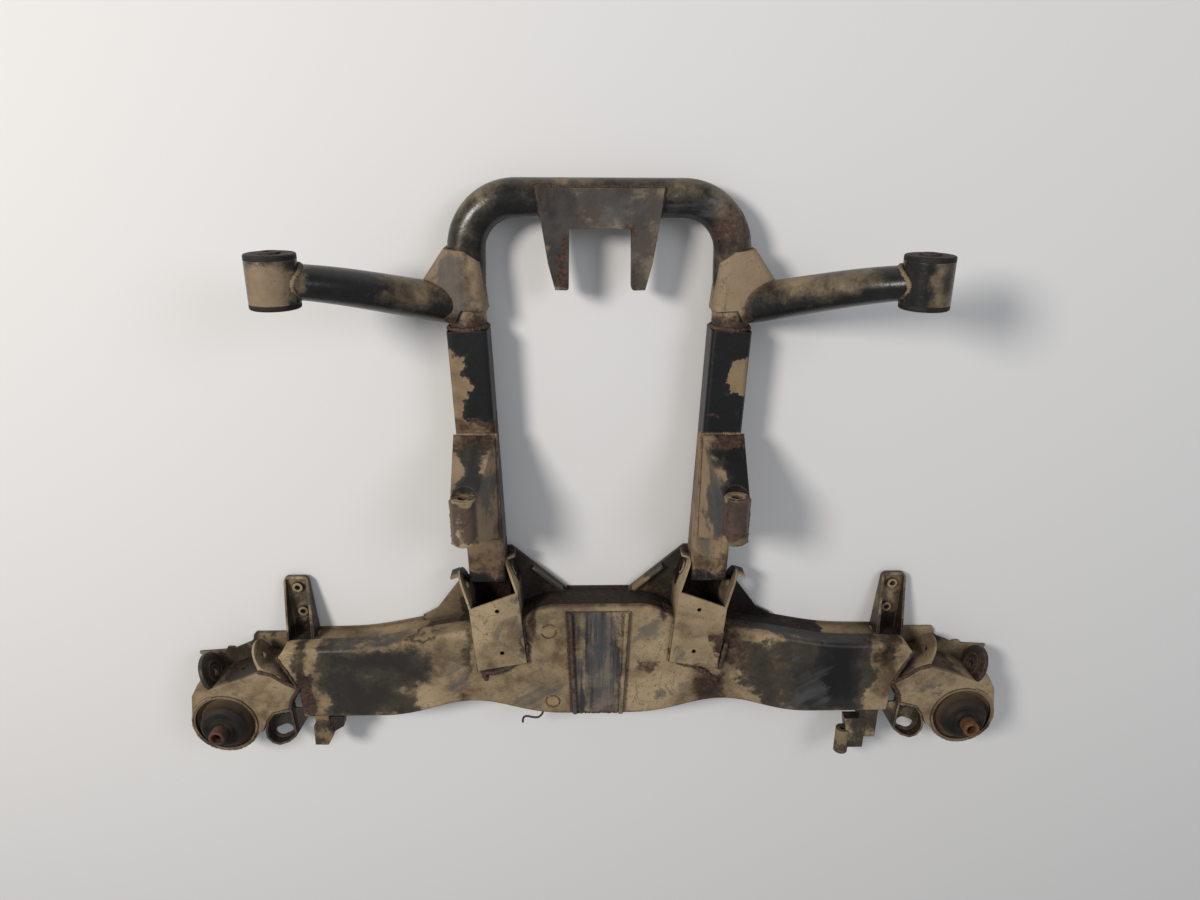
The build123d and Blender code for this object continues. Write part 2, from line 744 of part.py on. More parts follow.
# Upright channel on the top wall near each end: its side rims taper towards the free end
channel_foot = 110.0
channel_head = 214.5
channel_base = -62.0
channel_sheet = 3.0
with BuildPart() as channel:
    with BuildSketch(level(channel_base)):
        Polygon((418.0, channel_foot), (459.0, channel_foot), (462.5, channel_head), (426.5, channel_head), align=None)
    extrude(amount=36.0)
    fillet(channel.edges().filter_by(Axis.Z).group_by(Axis.Y)[-1], 8.0)
    with BuildSketch(level(channel_base + channel_sheet)):
        Polygon((421.0, 90.0), (455.6, 90.0), (459.3, channel_head - 4.0), (429.7, channel_head - 4.0), align=None)
    extrude(amount=beam_depth, mode=Mode.SUBTRACT)
    with BuildSketch(station(400.0)):
        Polygon(
            (channel_foot, channel_base + 36.0),
            (channel_foot, channel_base + 80.0),
            (channel_head + 1.0, channel_base + 80.0),
            (channel_head + 1.0, channel_base + 6.0),
            align=None,
        )
    extrude(amount=100.0, mode=Mode.SUBTRACT)
    with BuildSketch(level(channel_base)):
        with Locations((443.0, 197.0), (439.0, 157.0)):
            Circle(4.0)
    extrude(amount=channel_sheet, mode=Mode.SUBTRACT)
    add(beam_room.part, mode=Mode.SUBTRACT)
write_pair(channel.part, "channel_bracket")

with BuildPart() as channel_nuts:
    with BuildSketch(level(channel_base + channel_sheet)):
        with Locations((443.0, 197.0), (439.0, 157.0)):
            Circle(7.5)
            Circle(4.0, mode=Mode.SUBTRACT)
    extrude(amount=5.0)
write_pair(channel_nuts.part, "channel_weld_nuts")

# Bracket on each rail: a folded hood that narrows upwards to hold a bored sleeve
hood_foot = rail_height + rail_size / 2
hood_sheet = 3.0
bore_height = 75.0
bore_x = 173.5
bore_foot, bore_head = 333.0, 393.0
bore_proud = 3.0
hood_x, hood_y = 166.0, 376.0
hood_wide, hood_long = 56.0, 152.0
hood_room = 58.0
bore_radius = 7.25
boss_radius = 16.5
room_share = (hood_room - hood_foot) / (bore_height - hood_foot)
room_x = hood_x + (bore_x - hood_x) * room_share
room_y = hood_y + ((bore_foot + bore_head) / 2 - hood_y) * room_share
room_wide = hood_wide + (2 * boss_radius - hood_wide) * room_share - 2 * hood_sheet
room_long = hood_long + (bore_head - bore_foot - hood_long) * room_share - 2 * hood_sheet
with BuildPart() as hood:
    with BuildSketch(level(hood_foot)):
        with Locations((hood_x, hood_y)):
            Rectangle(hood_wide, hood_long)
    with BuildSketch(level(bore_height)):
        with Locations((bore_x, (bore_foot + bore_head) / 2)):
            Rectangle(2 * boss_radius, bore_head - bore_foot)
    loft()
    with BuildSketch(level(hood_foot)):
        with Locations((hood_x, hood_y)):
            Rectangle(hood_wide - 2 * hood_sheet, hood_long - 2 * hood_sheet)
    with BuildSketch(level(hood_room)):
        with Locations((room_x, room_y)):
            Rectangle(room_wide, room_long)
    loft(mode=Mode.SUBTRACT)
    with BuildSketch(across(bore_head + 20.0)):
        with Locations((bore_x, bore_height)):
            Circle(boss_radius)
    extrude(amount=bore_head - bore_foot + 40.0, mode=Mode.SUBTRACT)
    add(rail_room.part, mode=Mode.SUBTRACT)
write_pair(hood.part, "rail_bracket")

with BuildPart() as hood_sleeve:
    with BuildSketch(across(bore_head + bore_proud)):
        with Locations((bore_x, bore_height)):
            Circle(boss_radius)
            Circle(bore_radius, mode=Mode.SUBTRACT)
    extrude(amount=bore_head + bore_proud - bore_foot)
    chamfer(hood_sleeve.edges().filter_by(GeomType.CIRCLE), 0.8)
write_pair(hood_sleeve.part, "rail_bracket_sleeve")

# Gusset plates that tie each rail to the top wall, one on each side of the rail
with BuildPart() as inner_gusset:
    with BuildSketch(level(-60.0)):
        Polygon((46.0, 150.0), (46.0, 193.0), (125.0, 263.0), (140.0, 263.0), (140.0, 150.0), align=None)
    extrude(amount=ear_sheet)
    with BuildSketch(level(-60.0)):
        Polygon((51.0, 196.0), (94.0, 234.0), (96.5, 231.0), (53.5, 193.0), align=None)
    extrude(amount=16.0)
    add(rail_room.part, mode=Mode.SUBTRACT)
    add(beam_room.part, mode=Mode.SUBTRACT)
write_pair(inner_gusset.part, "inner_gusset")

with BuildPart() as outer_gusset:
    with BuildSketch(level(-62.0)):
        Polygon((170.0, 218.0), (200.0, 212.0), (240.0, 158.0), (262.0, 146.0), (262.0, 120.0), (170.0, 120.0), align=None)
    extrude(amount=ear_sheet)
    add(rail_room.part, mode=Mode.SUBTRACT)
    add(beam_room.part, mode=Mode.SUBTRACT)
write_pair(outer_gusset.part, "outer_gusset")

# Saddle on the top run of the loop: a folded plate with two plain prongs
saddle_face = -5.0
saddle_sheet = 4.0
with BuildSketch() as saddle_shape:
    with BuildLine():
        Polyline(
            (0, loop_y + 13.0),
            (77.5, loop_y + 13.0),
            (72.0, loop_y - 33.0),
            (65.0, loop_y - 77.0),
            (56.5, loop_y - 109.5),
            (42.0, loop_y - 110.0),
            (39.5, loop_y - 108.0),
            (38.5, loop_y - 35.0),
            (0, loop_y - 35.0),
            close=True,
        )
    make_face()
    mirror(about=Plane.YZ)
with BuildPart() as saddle:
    with BuildSketch(level(saddle_face - 26.0)):
        add(saddle_shape.sketch)
    extrude(amount=26.0)
    with BuildSketch(level(saddle_face - 26.0)):
        offset(saddle_shape.sketch, amount=-saddle_sheet)
    extrude(amount=26.0 - saddle_sheet, mode=Mode.SUBTRACT)
    add(loop_room.part, mode=Mode.SUBTRACT)
    saddle_solids = saddle.solids().sort_by(SortBy.VOLUME)
write(saddle_solids[-1], "loop_saddle")

# Line holder on the right: an arm from the lower wall with a small box and a round stub
with BuildPart() as line_holder:
    with BuildSketch(level(-30.0)):
        Polygon(
            (beam_half - 35.0, 12.0),
            (beam_half - 7.0, 12.0),
            (beam_half - 7.0, -47.0),
            (beam_half - 25.0, -47.0),
            (beam_half - 35.0, -23.0),
            align=None,
        )
    extrude(amount=20.0)
    with BuildSketch(level(-26.0)):
        Polygon(
            (beam_half - 57.0, -12.0),
            (beam_half - 25.0, -12.0),
            (beam_half - 25.0, -65.0),
            (beam_half - 49.0, -65.0),
            align=None,
        )
    extrude(amount=18.0)
    add(beam_room.part, mode=Mode.SUBTRACT)
write(line_holder.part, "right_line_holder")

with BuildPart() as line_stub:
    with BuildSketch(across(-34.0)):
        with Locations((beam_half - 56.5, -15.0)):
            Circle(10.5)
            Circle(4.0, mode=Mode.SUBTRACT)
    extrude(amount=-34.0 - low_y)
    add(line_holder.part, mode=Mode.SUBTRACT)
write(line_stub.part, "right_line_stub")

# Line holder on the left: two stepped boxes below the wall of the beam
with BuildPart() as left_holder:
    with BuildSketch(level(-25.0)):
        Polygon(
            (13.0 - beam_half, 12.0),
            (34.0 - beam_half, 12.0),
            (34.0 - beam_half, -13.0),
            (38.0 - beam_half, -13.0),
            (36.0 - beam_half, -32.0),
            (28.0 - beam_half, -46.5),
            (8.5 - beam_half, -46.0),
            (9.0 - beam_half, -13.0),
            (13.0 - beam_half, -10.0),
            align=None,
        )
    extrude(amount=20.0)
    with BuildSketch(level(-21.0)):
        Polygon(
            (34.0 - beam_half, 2.0),
            (56.0 - beam_half, 2.0),
            (53.5 - beam_half, -14.0),
            (38.0 - beam_half, -24.0),
            (34.0 - beam_half, -24.0),
            align=None,
        )
    extrude(amount=14.0)
    add(beam_room.part, mode=Mode.SUBTRACT)
    add(mirror(loop_bracket.part, about=Plane.YZ), mode=Mode.SUBTRACT)
write(left_holder.part, "left_line_holder")

# Wire hook left under the middle of the beam
with BuildPart() as wire_hook:
    with BuildLine(level(-14.0)) as wire_line:
        Spline((-114.0, -16.0), (-109.0, -5.0), (-91.0, -7.0), (-84.0, 0.0), (-86.0, 14.0))
    with BuildSketch(Plane(origin=wire_line.line @ 0, z_dir=wire_line.line % 0)):
        Circle(1.6)
    sweep()
    add(beam_room.part, mode=Mode.SUBTRACT)
write(wire_hook.part, "wire_hook")
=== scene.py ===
# %% [markdown]
# # Dressing a used rear axle beam
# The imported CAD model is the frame. This notebook gives each of its pieces a worn finish: black
# paint under dried mud, rust where the paint has gone, and dusty rubber in the bushes. Weld seams
# are grown along the joints with geometry nodes.

from math import cos, pi, radians, sin

import bmesh
import bpy
from mathutils import Matrix, Vector


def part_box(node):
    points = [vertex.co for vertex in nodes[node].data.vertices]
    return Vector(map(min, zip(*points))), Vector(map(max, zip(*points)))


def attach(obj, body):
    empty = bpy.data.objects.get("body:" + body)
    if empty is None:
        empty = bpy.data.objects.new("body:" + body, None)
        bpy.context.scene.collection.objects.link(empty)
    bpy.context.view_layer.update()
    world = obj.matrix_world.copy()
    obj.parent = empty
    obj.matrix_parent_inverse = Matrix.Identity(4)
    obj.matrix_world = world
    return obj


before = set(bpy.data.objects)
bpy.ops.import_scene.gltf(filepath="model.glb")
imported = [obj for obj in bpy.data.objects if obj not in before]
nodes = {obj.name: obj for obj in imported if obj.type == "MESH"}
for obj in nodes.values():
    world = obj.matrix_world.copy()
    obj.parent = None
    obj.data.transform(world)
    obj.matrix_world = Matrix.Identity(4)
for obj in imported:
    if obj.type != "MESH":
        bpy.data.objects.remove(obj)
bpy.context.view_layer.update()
print("nodes", len(nodes))

# %% [markdown]
# ## Places
# The CAD gives heights from the face of the beam and lengths from the line through the two main
# bushes. `at` turns such a place, in millimetres, into metres in the shared frame.

# %%
PIN_RADIUS = 0.0115
BUSH_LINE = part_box("right_main_bush_pin")[0].y + PIN_RADIUS
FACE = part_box("beam_front_shell")[1].z


def at(x, y, height=0.0):
    return Vector((x / 1000, BUSH_LINE + y / 1000, FACE + height / 1000))


print("bush line", round(BUSH_LINE, 4), "face", round(FACE, 4))

# %% [markdown]
# ## Small helpers for shaders
# Colours are written as on screen and turned to linear light by one function. `wire` adds one
# node, sets its inputs or links them, and hands it back.


# %%
def linear(hex_colour):
    values = [int(hex_colour[i : i + 2], 16) / 255 for i in (1, 3, 5)]
    return tuple(v / 12.92 if v <= 0.04045 else ((v + 0.055) / 1.055) ** 2.4 for v in values) + (1.0,)


def wire(tree, kind, inputs=None, **settings):
    node = tree.nodes.new(kind)
    for key, value in settings.items():
        setattr(node, key, value)
    for key, value in (inputs or {}).items():
        socket = node.inputs[key]
        if isinstance(value, bpy.types.NodeSocket):
            tree.links.new(value, socket)
        else:
            socket.default_value = value
    return node


def maths(tree, operation, a, b=0.0, clamp=False):
    node = wire(tree, "ShaderNodeMath", {0: a, 1: b}, operation=operation, use_clamp=clamp)
    return node.outputs[0]


def plus(tree, total, *others):
    for value in others:
        total = maths(tree, "ADD", total, value)
    return total


def less(tree, a, b):
    return maths(tree, "SUBTRACT", a, b)


def times(tree, a, b):
    return maths(tree, "MULTIPLY", a, b)


def largest(tree, values):
    total = values[0]
    for value in values[1:]:
        total = maths(tree, "MAXIMUM", total, value)
    return total


def vector(tree, operation, *values):
    return wire(tree, "ShaderNodeVectorMath", dict(enumerate(values)), operation=operation).outputs


def ramp(tree, value, low, high, to_low=0.0, to_high=1.0):
    inputs = {"Value": value, "From Min": low, "From Max": high, "To Min": to_low, "To Max": to_high}
    return wire(tree, "ShaderNodeMapRange", inputs, interpolation_type="SMOOTHSTEP").outputs["Result"]


def blend(tree, share, first, second):
    node = wire(tree, "ShaderNodeMix", {"Factor": share}, data_type="RGBA")
    for socket, value in ((node.inputs[6], first), (node.inputs[7], second)):
        if isinstance(value, bpy.types.NodeSocket):
            tree.links.new(value, socket)
        else:
            socket.default_value = value
    return node.outputs[2]


def noise(tree, place, scale, detail=4.0, rough=0.55, distortion=0.0):
    inputs = {"Vector": place, "Scale": scale, "Detail": detail, "Roughness": rough, "Distortion": distortion}
    return wire(tree, "ShaderNodeTexNoise", inputs).outputs["Fac"]


def open_share(tree, reach, samples):
    """Runs from 1 on an open face down to 0 deep in a corner, looking as far as reach."""
    node = wire(tree, "ShaderNodeAmbientOcclusion", {"Distance": reach}, samples=samples, only_local=False)
    return node.outputs["AO"]


# %% [markdown]
# ## A patch mask
# Mud and bare paint on a used part don't follow the pieces, they lie in patches. This group takes
# a place, a centre, a half size and the width of the edge, and gives 1 inside the patch and 0
# outside it. The edge comes out uneven because noise pushes the place about first.


# %%
def make_patch_group():
    group = bpy.data.node_groups.new("patch mask", "ShaderNodeTree")
    face = group.interface
    face.new_socket("Place", in_out="INPUT", socket_type="NodeSocketVector")
    face.new_socket("Centre", in_out="INPUT", socket_type="NodeSocketVector")
    face.new_socket("Half", in_out="INPUT", socket_type="NodeSocketVector")
    face.new_socket("Feather", in_out="INPUT", socket_type="NodeSocketFloat")
    face.new_socket("Mask", in_out="OUTPUT", socket_type="NodeSocketFloat")
    inside = group.nodes.new("NodeGroupInput").outputs
    offset = vector(group, "SUBTRACT", inside["Place"], inside["Centre"])[0]
    past = vector(group, "SUBTRACT", vector(group, "ABSOLUTE", offset)[0], inside["Half"])[0]
    furthest = largest(group, list(wire(group, "ShaderNodeSeparateXYZ", {0: past}).outputs))
    share = maths(group, "DIVIDE", furthest, inside["Feather"])
    mask = ramp(group, share, 1.0, -1.0)
    out = group.nodes.new("NodeGroupOutput")
    group.links.new(mask, out.inputs["Mask"])
    return group


PATCH = make_patch_group()
ALL_HEIGHTS = (-200, 300)  # millimetres from the face, past the whole part


def patch(tree, place, spot):
    x0, x1, y0, y1, feather = spot[:5]
    z0, z1 = spot[5:] or ALL_HEIGHTS
    low, high = at(x0, y0, z0), at(x1, y1, z1)
    node = wire(tree, "ShaderNodeGroup", node_tree=PATCH)
    tree.links.new(place, node.inputs["Place"])
    node.inputs["Centre"].default_value = (low + high) / 2
    node.inputs["Half"].default_value = (high - low) / 2
    node.inputs["Feather"].default_value = feather / 1000
    return node.outputs["Mask"]


# %% [markdown]
# ## The worn coat
# One recipe makes every painted finish, and its settings make them differ:
# - the paint is nearly black, with fine orange peel, and rust comes through in ragged blotches;
# - mud lies on top, more on one side and in corners, and at `mud` 0 it covers about half;
# - long smears along `grain` wipe the mud down to grey paint, and thin cracks run through it;
# - hollows and corners darken with painted shade mixed with dirt, as much as `nook` says, and
#   `edge_wear_and_highlight` wears the edges to rust and lightens them, partly as a painted highlight;
# - `up` adds mud to faces that look towards `side`, and `soft` blurs where the mud ends;
# - the spots say where the paint is bare, the mud caked, the steel rusty, the mud smeared, the
#   paint near black (black paint, and painted shade in cavities), or dark dirt and painted shadow lie thick.

# %%
MUD_DARK = linear("#5a4935")
MUD_MID = linear("#8b795c")
MUD_PALE = linear("#a38f70")
RUST_DARK = linear("#251a15")
RUST_MID = linear("#4d3629")
SMEAR = linear("#48484a")
GRIME_AND_SHADE = linear("#1f160f")
WARP_REACH = 0.07  # full swing of the noise that pushes the edges of patches, in metres
CORNER_REACH = 0.022
HOLLOW_REACH = 0.075
EDGE_RADIUS = 0.0016
EVEN_MUD = 0.84  # what the noises add up to where mud and paint are even


def worn_coat(
    name,
    paint="#292826",
    gloss=0.42,
    mud=0.0,
    rust=0.0,
    scuff=0.0,
    grain=(1, 1, 1),
    turn=0.0,
    stroke=90.0,
    streaky=0.0,
    spots=(),
    up=0.1,
    side=(0, 0, 1),
    mud_tint=None,
    lumps=1.0,
    dust=0.14,
    edge_wear_and_highlight=0.5,
    soft=0.0,
    nook=1.0,
):
    material = bpy.data.materials.new(name)
    material.use_nodes = True
    tree = material.node_tree
    shader = tree.nodes["Principled BSDF"]
    place = wire(tree, "ShaderNodeTexCoord").outputs["Object"]
    normal = wire(tree, "ShaderNodeNewGeometry").outputs["Normal"]

    warp_inputs = {"Vector": place, "Scale": 26.0, "Detail": 6.0, "Roughness": 0.65}
    warp = wire(tree, "ShaderNodeTexNoise", warp_inputs).outputs["Color"]
    centred = vector(tree, "SUBTRACT", warp, (0.5, 0.5, 0.5))[0]
    pushed = vector(tree, "MULTIPLY_ADD", centred, (WARP_REACH, WARP_REACH, 0.0), place)[0]

    def masked(kind):
        chosen = [patch(tree, pushed, spot[1:]) for spot in spots if spot[0] == kind]
        return largest(tree, chosen) if chosen else 0.0

    broad = noise(tree, place, 9.0, 6.0, 0.6, 0.4)
    middle = noise(tree, place, 38.0, 6.0, 0.62, 0.3)
    fine = noise(tree, place, 210.0, 5.0, 0.65)
    grit = noise(tree, place, 900.0, 3.0, 0.6)
    along = wire(tree, "ShaderNodeVectorRotate", {"Vector": place, "Angle": turn}, rotation_type="Z_AXIS")
    streaks = noise(tree, vector(tree, "MULTIPLY", along.outputs[0], grain)[0], stroke, 6.0, 0.66, 0.2)

    # Where the surface faces, where it has corners and hollows, and where it has edges
    facing = vector(tree, "DOT_PRODUCT", normal, Vector(side).normalized())["Value"]
    corner = ramp(tree, open_share(tree, CORNER_REACH, 4), 0.85, 0.25)
    hollow = ramp(tree, open_share(tree, HOLLOW_REACH, 5), 0.8, 0.2)
    rounded = wire(tree, "ShaderNodeBevel", {"Radius": EDGE_RADIUS}, samples=4).outputs[0]
    edge = ramp(tree, vector(tree, "DOT_PRODUCT", rounded, normal)["Value"], 0.985, 0.85)

    # How much mud lies here
    amount = plus(
        tree,
        times(tree, broad, 0.95),
        times(tree, middle, 0.55),
        times(tree, less(tree, streaks, 0.5), streaky),
        times(tree, fine, 0.18),
        mud - EVEN_MUD,
        times(tree, less(tree, facing, 0.5), up),
        times(tree, corner, 0.12),
        times(tree, masked("caked"), 0.42),
    )
    amount = less(tree, amount, times(tree, masked("bare"), 0.42))
    amount = less(tree, amount, times(tree, masked("deep"), 0.8))
    crust = ramp(tree, amount, -0.03 - soft, 0.05 + soft)
    film = ramp(tree, amount, -0.3, 0.05)

    # How far the rust has come through
    flaked = masked("rusty")
    rust_field = plus(
        tree,
        noise(tree, place, 30.0, 8.0, 0.7, 0.8),
        rust - 0.1,
        times(tree, corner, 0.05),
        times(tree, edge, 0.12 * edge_wear_and_highlight),
        times(tree, flaked, 0.3),
    )
    rusted = ramp(tree, rust_field, 0.54, 0.62)

    # Smears that wipe the mud off
    patchy = times(tree, less(tree, broad, 0.5), 0.4)
    wiped = plus(tree, streaks, times(tree, masked("smear"), 0.26), patchy, scuff - 0.2)
    scuffs = ramp(tree, wiped, 0.44, 0.66)

    # Colours, from the paint up
    peel = blend(tree, fine, linear("#2a2a28"), linear("#121211"))
    paint_colour = blend(tree, ramp(tree, middle, 0.35, 0.7), linear(paint), peel)
    # Near black in the deep spots: black paint, and painted shade in cavities such as the channel insides and
    # between the bracket ears.
    paint_colour = blend(tree, masked("deep"), paint_colour, linear("#0d0d0e"))
    rust_colour = blend(tree, ramp(tree, fine, 0.35, 0.65), RUST_DARK, RUST_MID)
    under = blend(tree, rusted, paint_colour, rust_colour)
    dusty = blend(tree, times(tree, film, dust), under, MUD_MID)
    mud_colour = blend(tree, ramp(tree, middle, 0.3, 0.7), MUD_DARK, MUD_MID)
    pale_share = ramp(tree, plus(tree, broad, times(tree, fine, 0.3)), 0.55, 0.85)
    mud_colour = blend(tree, pale_share, mud_colour, MUD_PALE)
    mud_colour = blend(tree, ramp(tree, fine, 0.54, 0.7, 0.0, 0.7), mud_colour, linear("#46362a"))
    if mud_tint:
        mud_colour = blend(tree, 0.6, mud_colour, linear(mud_tint))
    cells = wire(tree, "ShaderNodeTexVoronoi", {"Vector": pushed, "Scale": 34.0}, feature="DISTANCE_TO_EDGE")
    cracks = times(tree, ramp(tree, cells.outputs[0], 0.025, 0.0), ramp(tree, broad, 0.56, 0.64))
    mud_colour = blend(tree, times(tree, cracks, 0.55), mud_colour, linear("#3a2c21"))
    colour = blend(tree, crust, dusty, mud_colour)
    stained = times(tree, flaked, ramp(tree, middle, 0.36, 0.58, 0.3, 0.9))
    colour = blend(tree, stained, colour, rust_colour)
    colour = blend(tree, times(tree, scuffs, 0.66), colour, SMEAR)
    # Painted shade: hollows found by ambient occlusion darken towards dark brown, mixed with dirt.
    settled = times(tree, hollow, ramp(tree, middle, 0.3, 0.62, 0.35 * nook, 0.95 * nook))
    # The dark spots of dirt, partly painted shadow, such as the ears' shadow on the housing.
    grime_and_shadow_spots = times(tree, masked("grime_and_shadow"), ramp(tree, middle, 0.3, 0.6, 0.6, 0.95))
    grime_and_shade_colour = blend(tree, ramp(tree, fine, 0.4, 0.7), GRIME_AND_SHADE, linear("#3a291d"))
    colour = blend(tree, largest(tree, [settled, grime_and_shadow_spots]), colour, grime_and_shade_colour)
    # Edges lighten to tan: worn paint, and a painted highlight along the edges.
    colour = blend(tree, times(tree, edge, 0.3 * edge_wear_and_highlight), colour, linear("#8b7a63"))
    # Painted shade: corners darken towards near black, as much as `nook` says.
    colour = blend(tree, times(tree, ramp(tree, corner, 0.25, 1.0), 0.6 * nook), colour, linear("#1f1813"))
    tree.links.new(colour, shader.inputs["Base Color"])

    dull = plus(tree, times(tree, crust, 0.42), times(tree, rusted, 0.3), times(tree, fine, 0.2))
    tree.links.new(maths(tree, "ADD", dull, gloss - 0.1, clamp=True), shader.inputs["Roughness"])
    shader.inputs["Specular IOR Level"].default_value = 0.38

    height = plus(
        tree,
        times(tree, crust, 0.6 * lumps),
        times(tree, middle, 0.6 * lumps),
        times(tree, fine, 0.24 * lumps),
        times(tree, cracks, -0.3),
        times(tree, times(tree, grit, rusted), 0.15),
    )
    bump_inputs = {"Height": height, "Strength": 0.6, "Distance": 0.002, "Normal": rounded}
    tree.links.new(wire(tree, "ShaderNodeBump", bump_inputs).outputs[0], shader.inputs["Normal"])
    return material


BUSH_CENTRE = tuple(abs(part) for part in at(555, 0, 0))  # either main bush, with the signs dropped


def rubber_coat(name, base="#0e0d0c", dust=0.16):
    material = bpy.data.materials.new(name)
    material.use_nodes = True
    tree = material.node_tree
    shader = tree.nodes["Principled BSDF"]
    place = wire(tree, "ShaderNodeTexCoord").outputs["Object"]
    broad = noise(tree, place, 40.0, 5.0, 0.6)
    fine = noise(tree, place, 420.0, 4.0, 0.6)
    apart = vector(tree, "SUBTRACT", vector(tree, "ABSOLUTE", place)[0], BUSH_CENTRE)[0]
    radius = vector(tree, "LENGTH", vector(tree, "MULTIPLY", apart, (1, 1, 0))[0])["Value"]
    rim = times(tree, ramp(tree, radius, 0.032, 0.037), ramp(tree, radius, 0.06, 0.05))
    settled = ramp(tree, plus(tree, broad, times(tree, fine, 0.3)), 0.5, 0.85)
    settled = maths(tree, "ADD", times(tree, settled, dust), times(tree, rim, 0.8), clamp=True)
    colour = blend(tree, settled, linear(base), linear("#65533f"))
    colour = blend(tree, ramp(tree, fine, 0.6, 0.8, 0.0, 0.3), colour, linear("#332c26"))
    tree.links.new(colour, shader.inputs["Base Color"])
    tree.links.new(ramp(tree, broad, 0.2, 0.8, 0.5, 0.8), shader.inputs["Roughness"])
    shader.inputs["Specular IOR Level"].default_value = 0.3
    rounded = wire(tree, "ShaderNodeBevel", {"Radius": 0.0015}, samples=3).outputs[0]
    bump_inputs = {"Height": fine, "Strength": 0.25, "Distance": 0.0008, "Normal": rounded}
    bump = wire(tree, "ShaderNodeBump", bump_inputs)
    tree.links.new(bump.outputs[0], shader.inputs["Normal"])
    return material


def rust_coat(name, dark="#3a1f14", pale="#8a4a22", bright="#b5672c", share=0.5):
    material = bpy.data.materials.new(name)
    material.use_nodes = True
    tree = material.node_tree
    shader = tree.nodes["Principled BSDF"]
    place = wire(tree, "ShaderNodeTexCoord").outputs["Object"]
    broad = noise(tree, place, 60.0, 6.0, 0.65)
    fine = noise(tree, place, 500.0, 4.0, 0.6)
    colour = blend(tree, ramp(tree, broad, 0.35, 0.65), linear(dark), linear(pale))
    colour = blend(tree, ramp(tree, fine, 0.75 - share * 0.3, 0.9 - share * 0.3), colour, linear(bright))
    tree.links.new(colour, shader.inputs["Base Color"])
    shader.inputs["Roughness"].default_value = 0.78
    rounded = wire(tree, "ShaderNodeBevel", {"Radius": 0.0006}, samples=3).outputs[0]
    bump_inputs = {"Height": fine, "Strength": 0.5, "Distance": 0.0008, "Normal": rounded}
    bump = wire(tree, "ShaderNodeBump", bump_inputs)
    tree.links.new(bump.outputs[0], shader.inputs["Normal"])
    return material


# %% [markdown]
# ## Which piece gets which coat
# The patches are given in millimetres as x from, x to, y from, y to and the width of the edge. A
# patch that covers part of the height has its lowest and highest place after that. The rules then
# name the finish of each piece, and the first one whose words are in the piece's name counts.

